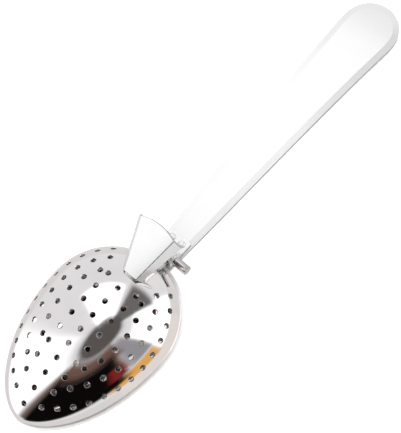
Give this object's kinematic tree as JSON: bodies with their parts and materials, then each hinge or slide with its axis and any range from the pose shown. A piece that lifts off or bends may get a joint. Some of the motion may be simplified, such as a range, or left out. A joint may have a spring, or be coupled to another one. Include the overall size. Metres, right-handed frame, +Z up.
{
  "type": "tea infuser",
  "caption": "Spoon-shaped tea infuser: a perforated egg-shaped bowl on a tapered handle, with a sprung perforated lid that a thumb lever opens.",
  "frame": {"origin": "on the table under the middle of the spoon's length and width, with the infuser at rest on the bowl's belly and the handle's end", "axes": "+X along the spoon from the bowl towards the handle's end, +Y across it towards the pin's cap, +Z up"},
  "size_m": [0.1545, 0.0422, 0.029],
  "materials": {
    "mirror_steel": "mirror-polished stainless steel",
    "polished_steel": "bright polished stainless steel with soft highlights",
    "hinge_steel": "polished stainless steel, slightly duller in its folds",
    "spring_steel": "bright drawn spring wire"
  },
  "bodies": {
    "spoon": {"spoon_handle": "polished_steel", "lower_bowl": "mirror_steel", "hinge_bracket": "hinge_steel", "hinge_pin": "hinge_steel", "pin_cap": "hinge_steel", "bracket_rivets": "hinge_steel", "return_spring": "spring_steel"},
    "lid_assembly": {"lid": "mirror_steel", "thumb_lever": "polished_steel", "lid_yoke": "hinge_steel"}
  },
  "joints": [
    {"name": "lid_hinge", "type": "hinge", "parent": "spoon", "child": "lid_assembly", "pos_m": [-0.01554, 0, 0.01363], "axis": [0, 1, 0], "range_deg": [0, 85], "stiffness_Nm_per_rad": 0.02, "springref_deg": -45.84, "deforming": ["return_spring"]}
  ]
}
